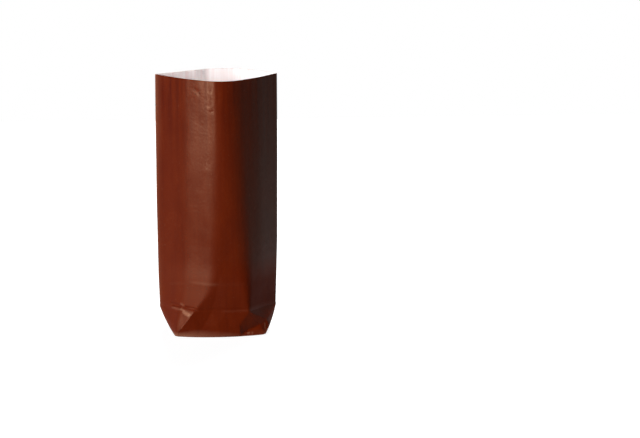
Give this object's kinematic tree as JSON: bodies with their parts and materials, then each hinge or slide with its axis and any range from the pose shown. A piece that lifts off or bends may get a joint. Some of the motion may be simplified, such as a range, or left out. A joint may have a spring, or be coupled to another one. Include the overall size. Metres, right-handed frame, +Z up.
{
  "type": "paper candy bag",
  "caption": "Open cross-bottom paper bag, brown outside and white inside, standing on its folded rectangular bottom.",
  "frame": {"origin": "middle of the bag's bottom, on the surface it stands on", "axes": "+Z up to the mouth, +X along the bottom's long side, -Y towards the front wall, the one with the cross crease; the lengthwise seam is on the back, at +Y"},
  "size_m": [0.0966, 0.0686, 0.2134],
  "materials": {
    "paper": "satin"
  },
  "bodies": {
    "root": {"paper_bag": "paper"}
  },
  "joints": []
}
